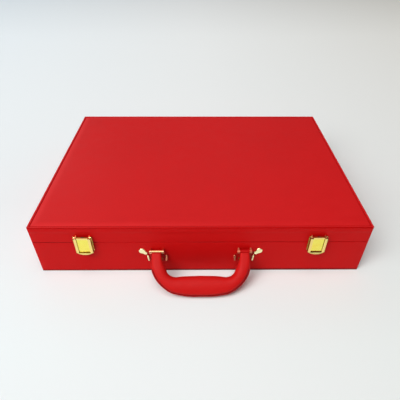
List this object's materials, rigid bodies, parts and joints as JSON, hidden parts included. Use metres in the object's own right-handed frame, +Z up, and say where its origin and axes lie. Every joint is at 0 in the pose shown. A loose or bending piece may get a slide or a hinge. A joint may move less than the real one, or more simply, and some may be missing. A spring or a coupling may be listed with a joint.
{
  "type": "carrying case for a mahjong set",
  "caption": "Flat leather-covered carrying case for a tile game, with a hinged lid, snap latches on the front, a padded folding handle and velvet-lined compartments.",
  "frame": {"origin": "centre of the underside of the closed case, on the surface it stands on", "axes": "+X along the long side, to the right seen from the front; +Y from the front with the handle to the back with the hinges; +Z up, out of the lid"},
  "size_m": [0.449, 0.378, 0.0827],
  "materials": {
    "red_leather": "smooth red leather, soft satin",
    "velvet": "wine-red velvet",
    "pad_velvet": "wine-red velvet over foam",
    "board": "raw fibreboard",
    "gold": "polished gold plate",
    "spring_steel": "bright steel",
    "foam": "soft foam"
  },
  "bodies": {
    "base": {"base_bottom_leather": "red_leather", "base_bottom_board": "board", "base_front_board": "board", "base_back_board": "board", "base_side_boards": "board", "base_side_leather": "red_leather", "base_wall_lining": "velvet", "base_floor_pad": "velvet", "divider_column": "velvet", "divider_trough": "velvet", "divider_rows": "velvet", "divider_bays": "velvet", "divider_accessories": "velvet", "catch_plate_left": "gold", "catch_plate_right": "gold", "catch_plate_screws": "gold", "handle_bracket_left": "gold", "handle_bracket_right": "gold", "handle_bracket_screws": "gold", "handle_pin_left": "gold", "handle_pin_right": "gold", "hinge_base_leaf_left": "gold", "hinge_base_leaf_right": "gold", "hinge_pin_left": "gold", "hinge_pin_right": "gold", "hinge_base_screws": "gold"},
    "lid": {"lid_top_board": "board", "lid_front_board": "board", "lid_back_board": "board", "lid_side_boards": "board", "lid_top_leather": "red_leather", "lid_side_leather": "red_leather", "lid_wall_lining": "velvet", "lid_pad": "pad_velvet", "latch_plate_left": "gold", "latch_plate_right": "gold", "latch_plate_screws": "gold", "latch_pin_left": "gold", "latch_pin_right": "gold", "latch_spring_left": "spring_steel", "latch_spring_right": "spring_steel", "hinge_lid_leaf_left": "gold", "hinge_lid_leaf_right": "gold", "hinge_lid_screws": "gold"},
    "latch_flap_left": {"latch_flap_left": "gold", "latch_clip_left": "spring_steel"},
    "latch_flap_right": {"latch_flap_right": "gold", "latch_clip_right": "spring_steel"},
    "handle": {"handle_leather": "red_leather", "handle_padding": "foam", "handle_core": "spring_steel", "handle_lug_left": "gold", "handle_lug_right": "gold", "handle_rivets": "gold"}
  },
  "joints": [
    {"name": "lid_hinge", "type": "hinge", "parent": "base", "child": "lid", "pos_m": [0, 0.1623, 0.0564], "axis": [-1, 0, 0], "range_deg": [0, 95]},
    {"name": "latch_left_flap", "type": "hinge", "parent": "lid", "child": "latch_flap_left", "pos_m": [-0.155, -0.1622, 0.0672], "axis": [-1, 0, 0], "range_deg": [0, 90], "stiffness_Nm_per_rad": 0.003, "springref_deg": -22.92},
    {"name": "latch_right_flap", "type": "hinge", "parent": "lid", "child": "latch_flap_right", "pos_m": [0.155, -0.1622, 0.0672], "axis": [-1, 0, 0], "range_deg": [0, 90], "stiffness_Nm_per_rad": 0.003, "springref_deg": -22.92},
    {"name": "handle_swing", "type": "hinge", "parent": "base", "child": "handle", "pos_m": [0, -0.1643, 0.043], "axis": [-1, 0, 0], "range_deg": [-32.5, 118]}
  ]
}
